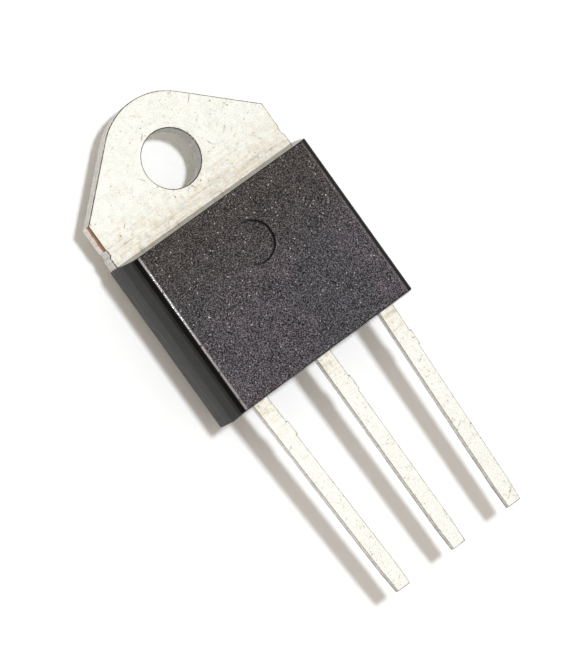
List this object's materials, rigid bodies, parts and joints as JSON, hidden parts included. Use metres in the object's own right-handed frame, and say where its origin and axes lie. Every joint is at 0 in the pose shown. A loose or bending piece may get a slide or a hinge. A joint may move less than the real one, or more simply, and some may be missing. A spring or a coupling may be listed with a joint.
{
  "type": "triac",
  "caption": "Insulated power triac in a flat black plastic package with a plated screw-down tab, a screw hole and flat in-line leads, lying on its mounting face.",
  "frame": {"origin": "centre of the tab's screw hole, on the mounting face", "axes": "+Z away from the heatsink through the front face, +Y from the hole to the tab's round end, leads towards -Y, X across the package"},
  "size_m": [0.0154, 0.0362, 0.0045],
  "materials": {
    "moulding": "black moulded epoxy: finely eroded matt front face, smoother satin walls and chamfers",
    "tab_plating": "matt tin plating on a stamped copper tab, mottled and lightly scratched, bare copper where the tie bars were sheared",
    "lead_plating": "matt tin plating on stamped copper leads, darker sheared edges",
    "bare_copper": "bare rolled copper",
    "solder": "dull solidified solder",
    "alumina": "off-white sintered alumina",
    "silicon": "dark polished silicon"
  },
  "bodies": {
    "root": {"moulded_body": "moulding", "heat_tab": "tab_plating", "tile_solder": "solder", "insulator_back_foil": "bare_copper", "insulator_tile": "alumina", "insulator_front_foil": "bare_copper", "paddle_solder": "solder", "paddle_lead": "lead_plating", "chip_solder": "solder", "triac_chip": "silicon", "main_contact_solder": "solder", "gate_contact_solder": "solder", "main_clip": "bare_copper", "gate_clip": "bare_copper", "main_post_solder": "solder", "gate_post_solder": "solder", "main_lead": "lead_plating", "gate_lead": "lead_plating"}
  },
  "joints": []
}
